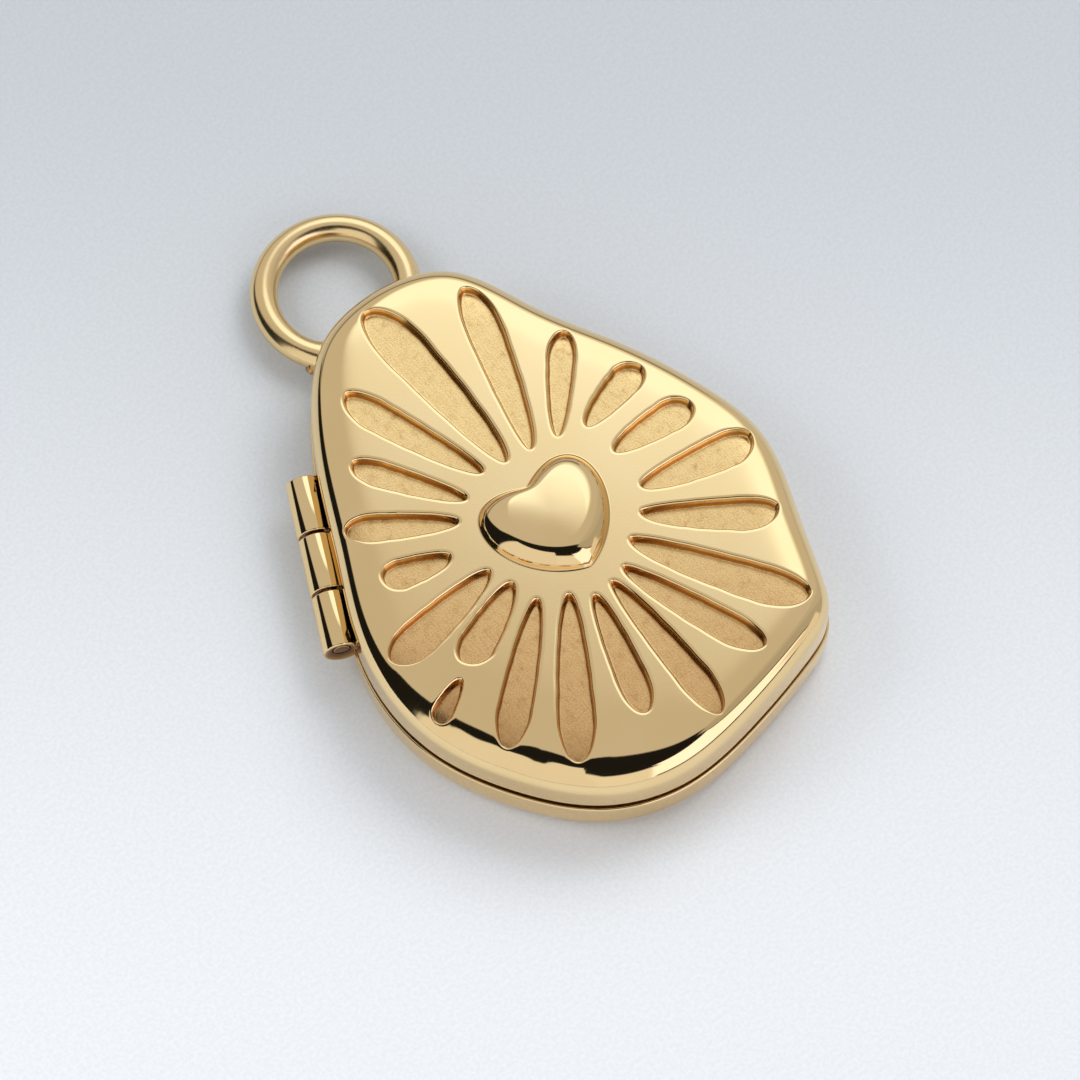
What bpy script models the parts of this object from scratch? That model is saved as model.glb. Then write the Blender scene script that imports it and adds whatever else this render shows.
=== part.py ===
"""Hinged locket pendant in polished gold, lying on its back.

The pebble-shaped locket has a tray-like back with a bail ring soldered to its top edge, and a lid
with a raised heart inside a sunburst of sunk petals. A three-knuckle hinge with a straight pin
joins them on the left. The design frame has its origin under the heart's centre, +Y towards the
ring and +Z up; the root empty then moves the bottom centre of the whole pendant to the world's
origin.
"""

import math

import bmesh
import bpy
import numpy as np
from mathutils import Matrix, Vector

MM = 0.001

# Body of the locket
BODY_WIDTH = 20.1 * MM
BODY_LENGTH = 25.5 * MM
BACK_HEIGHT = 1.75 * MM
SEAM_GAP = 0.30 * MM
LID_HEIGHT = 2.40 * MM
LID_INSET = 0.08 * MM
LID_FILLET = 1.10 * MM
BACK_FILLET = 0.65 * MM

# Walls and the lip on which the lid closes
LID_WALL = 0.75 * MM
LID_THICKNESS = 0.95 * MM
LIP_CLEARANCE = 0.12 * MM
LIP_THICKNESS = 0.50 * MM
LIP_RISE = 0.95 * MM
FLOOR_THICKNESS = 0.80 * MM

# Bail ring, soldered into the top edge of the back
RING_WIRE = 1.20 * MM
RING_RADIUS = 3.10 * MM
RING_SEAT = 1.20 * MM
RING_LIFT = 0.40 * MM

# Hinge: two knuckles on the back, one between them on the lid, and the pin
HINGE_BEARING = 301.3
KNUCKLE_DIAMETER = 1.60 * MM
KNUCKLE_LENGTH = 2.56 * MM
KNUCKLE_GAP = 0.14 * MM
AXIS_STANDOFF = 0.45 * MM
NOTCH_CLEARANCE = 0.12 * MM
NOTCH_SIDE = 0.10 * MM
PIN_DIAMETER = 0.70 * MM
PIN_CLEARANCE = 0.05 * MM
WEB_ANGLE = 45

# Raised heart
HEART_WIDTH = 5.50 * MM
HEART_STEM = 4.36 * MM
HEART_DROP = 0.42 * MM
LOBE_RISE = 1.25 * MM
LOBE_LEAN = 0.16 * MM
HEART_HEIGHT = 0.80 * MM
HEART_ROUNDNESS = 2.6
HEART_STATIONS = (1.0, 0.96, 0.88, 0.74, 0.52, 0.24)

# Sunk petals
PETAL_WIDTH = 1.60 * MM
PETAL_DEPTH = 0.45 * MM
PETAL_DRAFT = 0.12 * MM
PETAL_SHOULDER = 0.75
PETAL_SWELL = 1.25
TIP_DRAFT = 2.2

# Facets
OUTLINE_SIDES = 96
FILLET_STEPS = 4
KNUCKLE_SIDES = 24
WIRE_SIDES = 12
RING_SIDES = 40
HEART_SIDES = 40

# Outline, clockwise from the ring, measured from the heart's centre:
# across as a share of BODY_WIDTH, along as a share of BODY_LENGTH
OUTLINE_COLUMNS = ("across", "along")
OUTLINE = (
    (0.000, 0.529),
    (0.188, 0.482),
    (0.285, 0.339),
    (0.373, 0.210),
    (0.462, 0.044),
    (0.488, -0.060),
    (0.475, -0.130),
    (0.427, -0.240),
    (0.390, -0.326),
    (0.349, -0.388),
    (0.259, -0.424),
    (0.075, -0.462),
    (-0.100, -0.475),
    (-0.269, -0.429),
    (-0.404, -0.317),
    (-0.485, -0.190),
    (-0.504, -0.086),
    (-0.483, 0.025),
    (-0.400, 0.178),
    (-0.318, 0.318),
    (-0.241, 0.418),
    (-0.138, 0.501),
)

# Petals, clockwise from the ring. Bearings in degrees clockwise from +Y; tip and head as shares
# of the outline's reach at that bearing; width as a share of PETAL_WIDTH; bow as the sideways
# shift of the middle line, a share of the local width, positive towards the clockwise side.
PETAL_COLUMNS = ("tip_bearing", "tip", "head_bearing", "head", "width", "bow")
PETALS = (
    (1.2, 0.250, -2.4, 0.930, 1.18, 0.085),
    (21.1, 0.280, 17.8, 0.897, 0.94, 0.100),
    (40.0, 0.400, 40.1, 0.900, 0.73, -0.050),
    (54.8, 0.500, 64.4, 0.885, 0.84, -0.080),
    (75.4, 0.450, 84.4, 0.842, 0.88, -0.050),
    (103.0, 0.402, 101.2, 0.925, 0.98, 0.120),
    (120.6, 0.357, 123.0, 0.905, 0.90, 0.200),
    (141.2, 0.280, 144.0, 0.925, 1.05, 0.150),
    (162.5, 0.305, 159.5, 0.877, 0.84, 0.110),
    (175.7, 0.310, 178.6, 0.925, 0.82, -0.080),
    (190.1, 0.310, 193.3, 0.769, 0.80, -0.035),
    (205.9, 0.280, 211.4, 0.905, 0.98, 0.000),
    (227.3, 0.320, 227.5, 0.911, 0.90, 0.000),
    (244.8, 0.753, 244.9, 0.938, 0.54, 0.000),
    (248.1, 0.310, 247.4, 0.688, 0.95, -0.100),
    (266.0, 0.350, 263.6, 0.910, 1.02, -0.060),
    (286.1, 0.490, 286.7, 0.812, 0.80, -0.080),
    (306.6, 0.420, 304.4, 0.931, 0.75, -0.030),
    (323.0, 0.360, 324.4, 0.836, 0.70, -0.100),
    (344.8, 0.290, 340.8, 0.850, 0.86, -0.120),
)

# Places along a petal where its edge has a corner, as shares of its length
PETAL_STATIONS = (0.03, 0.12, 0.28, 0.46, 0.64, 0.79, 0.90, 0.97)

# Heights that follow from the sizes above
LID_BOTTOM = BACK_HEIGHT + SEAM_GAP
LID_TOP = LID_BOTTOM + LID_HEIGHT
LID_CEILING = LID_TOP - LID_THICKNESS
LIP_TOP = BACK_HEIGHT + LIP_RISE
LIP_OUTER = LID_INSET + LID_WALL + LIP_CLEARANCE
LIP_INNER = LIP_OUTER + LIP_THICKNESS
RING_HEIGHT = RING_LIFT + RING_WIRE / 2
AXIS_HEIGHT = (BACK_HEIGHT + LID_BOTTOM) / 2
KNUCKLE_RADIUS = KNUCKLE_DIAMETER / 2
NOTCH_RADIUS = KNUCKLE_RADIUS + NOTCH_CLEARANCE
BORE_RADIUS = PIN_DIAMETER / 2 + PIN_CLEARANCE
HINGE_LENGTH = 3 * KNUCKLE_LENGTH + 2 * KNUCKLE_GAP

# How far a cutter or a joined piece runs past the face that it meets
OVERRUN = 0.30 * MM

POLISHED_GOLD = (0.90, 0.68, 0.35, 1.0)
PIN_GOLD = (0.84, 0.62, 0.32, 1.0)


def clear_scene():
    """Remove every object that the scene starts with."""
    for item in list(bpy.data.objects):
        bpy.data.objects.remove(item, do_unlink=True)


def closed_curve(points, count):
    """Sample a smooth closed curve through the points.

    Returns the samples, evenly spaced, and the outward normals of a clockwise curve.
    """
    points = np.asarray(points, dtype=float)
    total = len(points)
    step = np.roll(points, -1, axis=0) - points
    span = np.linalg.norm(step, axis=1)
    slope = step / span[:, None]
    system = np.zeros((total, total))
    for i in range(total):
        system[i, i - 1] = span[i - 1]
        system[i, i] = 2 * (span[i - 1] + span[i])
        system[i, (i + 1) % total] = span[i]
    bend = np.linalg.solve(system, 6 * (slope - np.roll(slope, 1, axis=0)))
    starts = np.concatenate(([0.0], np.cumsum(span)))
    samples = []
    normals = []
    for place in np.arange(count) * starts[-1] / count:
        i = int(np.searchsorted(starts, place, side="right")) - 1
        j = (i + 1) % total
        done = place - starts[i]
        left = span[i] - done
        first = points[i] / span[i] - bend[i] * span[i] / 6
        second = points[j] / span[i] - bend[j] * span[i] / 6
        cubic = (bend[i] * left**3 + bend[j] * done**3) / (6 * span[i])
        samples.append(cubic + first * left + second * done)
        along = (bend[j] * done**2 - bend[i] * left**2) / (2 * span[i]) - first + second
        along /= np.linalg.norm(along)
        normals.append((-along[1], along[0]))
    return np.array(samples), np.array(normals)


EDGE_POINTS, EDGE_NORMALS = closed_curve(
    [(across * BODY_WIDTH, along * BODY_LENGTH) for across, along in OUTLINE], OUTLINE_SIDES
)


def edge_at(bearing):
    """The outline's point and outward normal at a bearing in degrees clockwise from +Y."""
    sight = np.array((math.sin(math.radians(bearing)), math.cos(math.radians(bearing))))
    side = EDGE_POINTS @ np.array((-sight[1], sight[0]))
    ahead = EDGE_POINTS @ sight
    for i in range(OUTLINE_SIDES):
        j = (i + 1) % OUTLINE_SIDES
        if side[i] * side[j] <= 0 and side[i] != side[j] and ahead[i] > 0:
            share = side[i] / (side[i] - side[j])
            point = EDGE_POINTS[i] * (1 - share) + EDGE_POINTS[j] * share
            normal = EDGE_NORMALS[i] * (1 - share) + EDGE_NORMALS[j] * share
            return Vector(point), Vector(normal).normalized()
    raise ValueError("the outline doesn't go round the heart")


def edge_ring(inset, height):
    """The outline moved inwards by an inset, at a height."""
    moved = EDGE_POINTS - EDGE_NORMALS * inset
    return [Vector((x, y, height)) for x, y in moved]


def loft(name, *bodies):
    """One mesh of closed bodies, each a list of rings of equal length, capped at both ends."""
    shape = bmesh.new()
    for rings in bodies:
        loops = [[shape.verts.new(point) for point in ring] for ring in rings]
        for lower, upper in zip(loops, loops[1:]):
            for i, corner in enumerate(lower):
                j = (i + 1) % len(lower)
                shape.faces.new((corner, lower[j], upper[j], upper[i]))
        shape.faces.new(loops[0])
        shape.faces.new(loops[-1])
    bmesh.ops.recalc_face_normals(shape, faces=shape.faces)
    mesh = bpy.data.meshes.new(name)
    shape.to_mesh(mesh)
    shape.free()
    return mesh


def place(name, mesh, parent=None, matrix=None):
    """Put a mesh in the scene as a smooth-shaded object under its parent."""
    mesh.shade_smooth()
    mesh.set_sharp_from_angle(angle=math.radians(30))
    item = bpy.data.objects.new(name, mesh)
    bpy.context.scene.collection.objects.link(item)
    if matrix is not None:
        item.matrix_basis = matrix
    if parent is not None:
        item.parent = parent
    return item


def tool(name, mesh, parent, matrix=None):
    """A helper shape, seen as wires, that only cuts or joins."""
    item = place(name, mesh, parent, matrix)
    item.hide_render = True
    item.display_type = "WIRE"
    return item


def combine(item, operation, other):
    """Join a helper shape to a piece or cut it away, with an exact Boolean."""
    step = item.modifiers.new(f"{operation.lower()}_{other.name}", "BOOLEAN")
    step.operation = operation
    step.object = other
    step.solver = "EXACT"


def gold(name, colour, roughness):
    """A polished metal material."""
    finish = bpy.data.materials.new(name)
    finish.use_nodes = True
    shader = finish.node_tree.nodes["Principled BSDF"]
    shader.inputs["Base Color"].default_value = colour
    shader.inputs["Metallic"].default_value = 1.0
    shader.inputs["Roughness"].default_value = roughness
    return finish


def empty(name, location, parent=None):
    """An empty that carries other objects."""
    item = bpy.data.objects.new(name, None)
    item.location = location
    item.parent = parent
    bpy.context.scene.collection.objects.link(item)
    return item


def hinge_frame():
    """The hinge's middle, with local X out of the wall and local Y along the axis."""
    wall, outward = edge_at(HINGE_BEARING)
    middle = wall + outward * AXIS_STANDOFF
    turn = math.atan2(outward.y, outward.x)
    return Matrix.Translation((middle.x, middle.y, AXIS_HEIGHT)) @ Matrix.Rotation(turn, 4, "Z")


def ring_centre():
    """The centre of the bail ring, whose wire dips into the top edge."""
    edge, _ = edge_at(0)
    return Vector((edge.x, edge.y + RING_RADIUS - RING_SEAT, RING_HEIGHT))


def bottom_centre():
    """The middle of the whole pendant's footprint."""
    frame = hinge_frame()
    left = []
    for end in (-HINGE_LENGTH / 2, HINGE_LENGTH / 2):
        corner = frame @ Vector((0, end, 0))
        left.append(corner.x + frame.to_3x3().col[0].x * KNUCKLE_RADIUS)
    low_x = min(min(left), EDGE_POINTS[:, 0].min())
    high_x = EDGE_POINTS[:, 0].max()
    low_y = EDGE_POINTS[:, 1].min()
    high_y = ring_centre().y + RING_RADIUS + RING_WIRE / 2
    return Vector(((low_x + high_x) / 2, (low_y + high_y) / 2, 0))


def fillet(radius, base_inset, base_height, rising):
    """Rings round a quarter fillet between the side wall and a flat face."""
    rings = []
    for step in range(1, FILLET_STEPS + 1):
        angle = math.radians(90) * step / FILLET_STEPS
        inset = base_inset + radius * (1 - math.cos(angle))
        rings.append(edge_ring(inset, base_height + rising * radius * math.sin(angle)))
    return rings


def drum(radius, start, end):
    """Rings of a cylinder along the local Y axis."""
    rings = []
    for along in (start, end):
        ring = []
        for side in range(KNUCKLE_SIDES):
            angle = math.tau * (side + 0.5) / KNUCKLE_SIDES
            ring.append(Vector((radius * math.cos(angle), along, radius * math.sin(angle))))
        rings.append(ring)
    return rings


def knuckle(start, end, rising):
    """Rings of a round knuckle and the web inside its wall, above or below the axis."""
    web = rising * KNUCKLE_RADIUS * math.sin(math.radians(WEB_ANGLE))
    section = [(-KNUCKLE_RADIUS, web)]
    sweep = 360 - WEB_ANGLE
    steps = KNUCKLE_SIDES * sweep // 360
    for step in range(steps + 1):
        angle = math.radians(180 - WEB_ANGLE - sweep * step / steps)
        section.append((KNUCKLE_RADIUS * math.cos(angle), rising * KNUCKLE_RADIUS * math.sin(angle)))
    return [[Vector((x, along, z)) for x, z in section] for along in (start, end)]


def notch(span):
    """Rings of the relief round another piece's knuckle."""
    start, end = span
    return drum(NOTCH_RADIUS, start - NOTCH_SIDE, end + NOTCH_SIDE)


def knuckle_spans():
    """Start and end of the three knuckles along the axis, from the lower end up."""
    pitch = KNUCKLE_LENGTH + KNUCKLE_GAP
    starts = [-HINGE_LENGTH / 2 + index * pitch for index in range(3)]
    return [(start, start + KNUCKLE_LENGTH) for start in starts]


def ring_mesh():
    """The bail ring's wire as a closed torus round the local Z axis."""
    shape = bmesh.new()
    loops = []
    for side in range(RING_SIDES):
        angle = math.tau * side / RING_SIDES
        loop = []
        for corner in range(WIRE_SIDES):
            turn = math.tau * corner / WIRE_SIDES
            reach = RING_RADIUS + RING_WIRE / 2 * math.cos(turn)
            height = RING_WIRE / 2 * math.sin(turn)
            spot = (reach * math.cos(angle), reach * math.sin(angle), height)
            loop.append(shape.verts.new(spot))
        loops.append(loop)
    for i, loop in enumerate(loops):
        following = loops[(i + 1) % RING_SIDES]
        for k, corner in enumerate(loop):
            m = (k + 1) % WIRE_SIDES
            shape.faces.new((corner, following[k], following[m], loop[m]))
    bmesh.ops.recalc_face_normals(shape, faces=shape.faces)
    mesh = bpy.data.meshes.new("bail_ring_wire")
    shape.to_mesh(mesh)
    shape.free()
    return mesh


def heart_ring(size, height):
    """The heart's outline, scaled about its middle, at a height."""
    ring = []
    for side in range(HEART_SIDES):
        angle = math.tau * side / HEART_SIDES
        swell = abs(math.sin(angle))
        lean = math.sin(2 * angle) * math.copysign(1, math.pi - angle)
        x = HEART_WIDTH / 2 * math.sin(angle)
        y = HEART_STEM / 2 * math.cos(angle) - HEART_DROP + LOBE_RISE * swell + LOBE_LEAN * lean
        ring.append(Vector((x * size, y * size, height)))
    return ring


def heart_rings():
    """Rings of the puffed heart, from inside the lid's plate to its crown."""
    rings = [heart_ring(1, LID_TOP - OVERRUN)]
    for size in HEART_STATIONS:
        puff = math.sqrt(1 - size**HEART_ROUNDNESS)
        rings.append(heart_ring(size, LID_TOP + HEART_HEIGHT * puff))
    return rings


def petal_width(share):
    """A petal's width along its length, as a share of its greatest width."""
    if share < PETAL_SHOULDER:
        grown = share / PETAL_SHOULDER
        return math.sqrt(grown) * (PETAL_SWELL - (PETAL_SWELL - 1) * grown)
    past = (share - PETAL_SHOULDER) / (1 - PETAL_SHOULDER)
    return math.sqrt(max(0.0, 1 - past**2))


def petal_ring(petal, shrink, height):
    """A petal's edge at a height, made smaller all round by a shrink."""
    tip_bearing, tip, head_bearing, head, width, bow = petal
    ends = []
    for bearing, share in ((tip_bearing, tip), (head_bearing, head)):
        edge, _ = edge_at(bearing)
        sight = Vector((math.sin(math.radians(bearing)), math.cos(math.radians(bearing))))
        ends.append(sight * edge.length * share)
    along = (ends[1] - ends[0]).normalized()
    across = Vector((along.y, -along.x))
    start = ends[0] + along * shrink * TIP_DRAFT
    run = ends[1] - along * shrink - start
    full = width * PETAL_WIDTH - shrink - shrink
    sides = ([], [])
    for share in PETAL_STATIONS:
        local = full * petal_width(share)
        for side, edge in zip((-0.5, 0.5), sides):
            edge.append(start + run * share + across * local * (side + bow))
    loop = [start, *sides[1], start + run, *reversed(sides[0])]
    return [Vector((spot.x, spot.y, height)) for spot in loop]


def petal_rings(petal):
    """Rings of the cutter for one sunk petal, wider at its top."""
    spread = PETAL_DRAFT * OVERRUN / PETAL_DEPTH
    return [
        petal_ring(petal, PETAL_DRAFT, LID_TOP - PETAL_DEPTH),
        petal_ring(petal, -spread, LID_TOP + OVERRUN),
    ]


def build_back_shell(root, finish):
    """The tray with its lip, the soldered bail ring and the two outer knuckles."""
    outer = list(reversed(fillet(BACK_FILLET, 0, BACK_FILLET, -1)))
    outer.append(edge_ring(0, BACK_FILLET))
    outer.append(edge_ring(0, BACK_HEIGHT))
    outer.append(edge_ring(LIP_OUTER, BACK_HEIGHT))
    outer.append(edge_ring(LIP_OUTER, LIP_TOP))
    shell = place("back_shell", loft("back_shell", outer), root)
    shell.data.materials.append(finish)
    hinge = hinge_frame()
    spans = knuckle_spans()

    ring = tool("bail_ring", ring_mesh(), root, Matrix.Translation(ring_centre()))
    combine(shell, "UNION", ring)
    relief = loft("back_notch", notch(spans[1]))
    combine(shell, "DIFFERENCE", tool("back_notch", relief, root, hinge))
    for name, span in (("lower_knuckle", spans[0]), ("upper_knuckle", spans[2])):
        barrel = tool(name, loft(name, knuckle(*span, -1)), root, hinge)
        combine(shell, "UNION", barrel)
    hollow = [edge_ring(LIP_INNER, FLOOR_THICKNESS), edge_ring(LIP_INNER, LIP_TOP + OVERRUN)]
    combine(shell, "DIFFERENCE", tool("back_hollow", loft("back_hollow", hollow), root))
    bore = drum(BORE_RADIUS, -HINGE_LENGTH / 2 - OVERRUN, HINGE_LENGTH / 2 + OVERRUN)
    combine(shell, "DIFFERENCE", tool("back_bore", loft("back_bore", bore), root, hinge))
    return shell


def build_lid_shell(root, carrier, finish):
    """The hollow lid with its heart, its sunk petals and the middle knuckle."""
    wall_top = LID_TOP - LID_FILLET
    outer = [edge_ring(LID_INSET, LID_BOTTOM), edge_ring(LID_INSET, wall_top)]
    outer += fillet(LID_FILLET, LID_INSET, wall_top, 1)
    shell = place("lid_shell", loft("lid_shell", outer))
    shell.parent = carrier
    shell.matrix_parent_inverse = carrier.matrix_basis.inverted()
    shell.data.materials.append(finish)
    hinge = hinge_frame()
    spans = knuckle_spans()

    combine(shell, "UNION", tool("heart", loft("heart", heart_rings()), root))
    petals = loft("petals", *[petal_rings(petal) for petal in PETALS])
    combine(shell, "DIFFERENCE", tool("petals", petals, root))
    for name, span in (("lower_notch", spans[0]), ("upper_notch", spans[2])):
        combine(shell, "DIFFERENCE", tool(name, loft(name, notch(span)), root, hinge))
    barrel = loft("middle_knuckle", knuckle(*spans[1], 1))
    combine(shell, "UNION", tool("middle_knuckle", barrel, root, hinge))
    hollow_inset = LID_INSET + LID_WALL
    hollow = [edge_ring(hollow_inset, LID_BOTTOM - OVERRUN), edge_ring(hollow_inset, LID_CEILING)]
    combine(shell, "DIFFERENCE", tool("lid_hollow", loft("lid_hollow", hollow), root))
    bore = drum(BORE_RADIUS, -HINGE_LENGTH / 2 - OVERRUN, HINGE_LENGTH / 2 + OVERRUN)
    combine(shell, "DIFFERENCE", tool("lid_bore", loft("lid_bore", bore), root, hinge))
    return shell


def build_hinge_pin(root, finish):
    """The straight pin through the three knuckles, flush with the outer two."""
    body = drum(PIN_DIAMETER / 2, -HINGE_LENGTH / 2, HINGE_LENGTH / 2)
    pin = place("hinge_pin", loft("hinge_pin", body), root, hinge_frame())
    pin.data.materials.append(finish)
    return pin


def main():
    """Build the pendant."""
    clear_scene()
    root = empty("pendant", -bottom_centre())
    carrier = empty("lid_hinge", hinge_frame().to_translation(), root)
    polished = gold("polished_gold", POLISHED_GOLD, 0.12)
    build_back_shell(root, polished)
    build_lid_shell(root, carrier, polished)
    build_hinge_pin(root, gold("pin_gold", PIN_GOLD, 0.2))
    bpy.context.view_layer.update()


main()
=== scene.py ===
"""Looks of the hinged locket pendant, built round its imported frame.

Lengths in the classes are in millimetres, in the pendant's own frame: the origin under the heart's
centre, +Y towards the bail ring and +Z up. MeshMaker turns them into metres in the frame of the row.
"""

from __future__ import annotations

import logging
import math
from dataclasses import dataclass, field
from enum import Enum
from typing import Any, Iterable, Sequence

import bpy
import numpy as np
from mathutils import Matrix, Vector
from mathutils.geometry import delaunay_2d_cdt

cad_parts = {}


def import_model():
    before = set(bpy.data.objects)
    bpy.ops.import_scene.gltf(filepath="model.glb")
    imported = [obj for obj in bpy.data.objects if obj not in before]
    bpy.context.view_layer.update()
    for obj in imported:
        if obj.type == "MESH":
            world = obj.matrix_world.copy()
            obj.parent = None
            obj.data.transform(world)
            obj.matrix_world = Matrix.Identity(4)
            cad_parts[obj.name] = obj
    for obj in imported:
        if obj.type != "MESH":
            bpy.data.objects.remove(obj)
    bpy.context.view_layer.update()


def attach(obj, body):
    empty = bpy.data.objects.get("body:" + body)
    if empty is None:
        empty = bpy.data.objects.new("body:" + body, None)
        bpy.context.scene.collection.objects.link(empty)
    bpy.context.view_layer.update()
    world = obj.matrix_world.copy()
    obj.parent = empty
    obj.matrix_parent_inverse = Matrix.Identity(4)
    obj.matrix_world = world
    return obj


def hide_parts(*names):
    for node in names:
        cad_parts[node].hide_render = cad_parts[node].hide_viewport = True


LOG = logging.getLogger("locket")
MM = 0.001
HEART_PLACE = (0.4511, -3.4773)
FAR = (0.6018, 0.7986, 0.0)
# The seam's faces turn matt and partly take the painted wall shade, for the gap between lid and
# back.
SEAM_MATT_AND_SHADE = 0.98
Colour = tuple[float, float, float, float]
Span = tuple[float, float]
WHITE: Colour = (1.0, 1.0, 1.0, 1.0)


class Body(Enum):
    """The rigid bodies that pieces ride on."""

    BACK = "back"
    LID = "lid"


class Slot(Enum):
    """The record's material slots."""

    GOLD = "polished_gold"
    PIN = "pin_gold"


class Number:
    """A number in a node tree that takes arithmetic as Python expressions."""

    def __init__(self, graph: Graph, socket: bpy.types.NodeSocket) -> None:
        """Wrap an output socket."""
        self.graph = graph
        self.socket = socket

    def _math(self, operation: str, first: Any, second: Any) -> Number:
        """The result of a Math node on two numbers or values."""
        return self.graph.node("ShaderNodeMath", {"operation": operation}, {0: first, 1: second})

    def __add__(self, other: Any) -> Number:
        """Self plus other."""
        return self._math("ADD", self, other)

    def __radd__(self, other: Any) -> Number:
        """Other plus self."""
        return self._math("ADD", other, self)

    def __sub__(self, other: Any) -> Number:
        """Self minus other."""
        return self._math("SUBTRACT", self, other)

    def __rsub__(self, other: Any) -> Number:
        """Other minus self."""
        return self._math("SUBTRACT", other, self)

    def __mul__(self, other: Any) -> Number:
        """Self times other."""
        return self._math("MULTIPLY", self, other)

    def __rmul__(self, other: Any) -> Number:
        """Other times self."""
        return self._math("MULTIPLY", other, self)

    def step(self, low: float, high: float) -> Number:
        """A smooth step from 0 at low to 1 at high, which may be the smaller one."""
        settings = {"interpolation_type": "SMOOTHSTEP"}
        if low < high:
            values = {0: self, 1: low, 2: high, 3: 0.0, 4: 1.0}
        else:
            values = {0: self, 1: high, 2: low, 3: 1.0, 4: 0.0}
        return self.graph.node("ShaderNodeMapRange", settings, values)


@dataclass
class Graph:
    """A node tree to which nodes are added in one way."""

    tree: bpy.types.NodeTree

    def node(
        self,
        kind: str,
        settings: dict[str, Any] | None = None,
        values: dict[int | str, Any] | None = None,
        output: int | str = 0,
    ) -> Number:
        """Add a node.

        Args:
            kind: the node's type.
            settings: its properties, set first.
            values: what its sockets take, by index or name: a value or a link.
            output: the output that the result wraps.

        Returns:
            The chosen output.
        """
        made = self.tree.nodes.new(kind)
        for name, value in (settings or {}).items():
            setattr(made, name, value)
        for key, value in (values or {}).items():
            self.feed(made.inputs[key], value)
        return Number(self, made.outputs[output])

    def feed(self, socket: bpy.types.NodeSocket, value: Any) -> None:
        """Link a number to a socket, or set the socket to a plain value."""
        if isinstance(value, Number):
            self.tree.links.new(value.socket, socket)
        else:
            socket.default_value = value

    def blend(self, factor: Any, first: Any, second: Any) -> Number:
        """Mix two colours.

        Args:
            factor: 0 for the first colour, 1 for the second.
            first: a colour or a link.
            second: a colour or a link.

        Returns:
            The mixed colour.
        """
        settings = {"data_type": "RGBA", "clamp_factor": True}
        return self.node("ShaderNodeMix", settings, {0: factor, 6: first, 7: second}, 2)

    def along(self, vector: Number, direction: Sequence[float]) -> Number:
        """How far a vector goes along a direction."""
        values = {0: vector, 1: tuple(direction)}
        settings = {"operation": "DOT_PRODUCT"}
        return self.node("ShaderNodeVectorMath", settings, values, "Value")

    def tinted(self, colour: Any, tint: Any) -> Number:
        """A colour multiplied by another."""
        settings = {"data_type": "RGBA", "blend_type": "MULTIPLY"}
        return self.node("ShaderNodeMix", settings, {0: 1.0, 6: colour, 7: tint}, 2)

    def noise(self, place: Number, scale: float, detail: float) -> Number:
        """A noise of so many features in a metre, about 0.3 to 0.7."""
        values = {"Vector": place, "Scale": scale, "Detail": detail}
        return self.node("ShaderNodeTexNoise", {}, values, "Fac")

    def stretched(self, place: Number) -> Number:
        """Coordinates in which a noise turns into short brush marks."""
        values = {"Vector": place, "Rotation": (0.0, 0.0, 0.9), "Scale": (1.0, 0.18, 0.5)}
        return self.node("ShaderNodeMapping", {}, values)

    def bump(self, height: Any, strength: float, distance: float) -> Number:
        """A normal bumped by a height."""
        values = {"Strength": strength, "Distance": distance, "Height": height}
        return self.node("ShaderNodeBump", {}, values)


@dataclass(frozen=True)
class Finish:
    """A finish made of nodes."""

    name: str

    def build(self) -> bpy.types.Material:
        """Make the material.

        Returns:
            The node material.
        """
        material = bpy.data.materials.new(self.name)
        material.use_nodes = True
        graph = Graph(material.node_tree)
        shader = material.node_tree.nodes["Principled BSDF"]
        place = graph.node("ShaderNodeTexCoord", output="Object")
        for socket, value in self.surface(graph, place).items():
            graph.feed(shader.inputs[socket], value)
        return material

    def surface(self, graph: Graph, place: Number) -> dict[str, Any]:
        """What the shader's sockets take, which each kind of finish gives."""
        raise NotImplementedError


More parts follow.
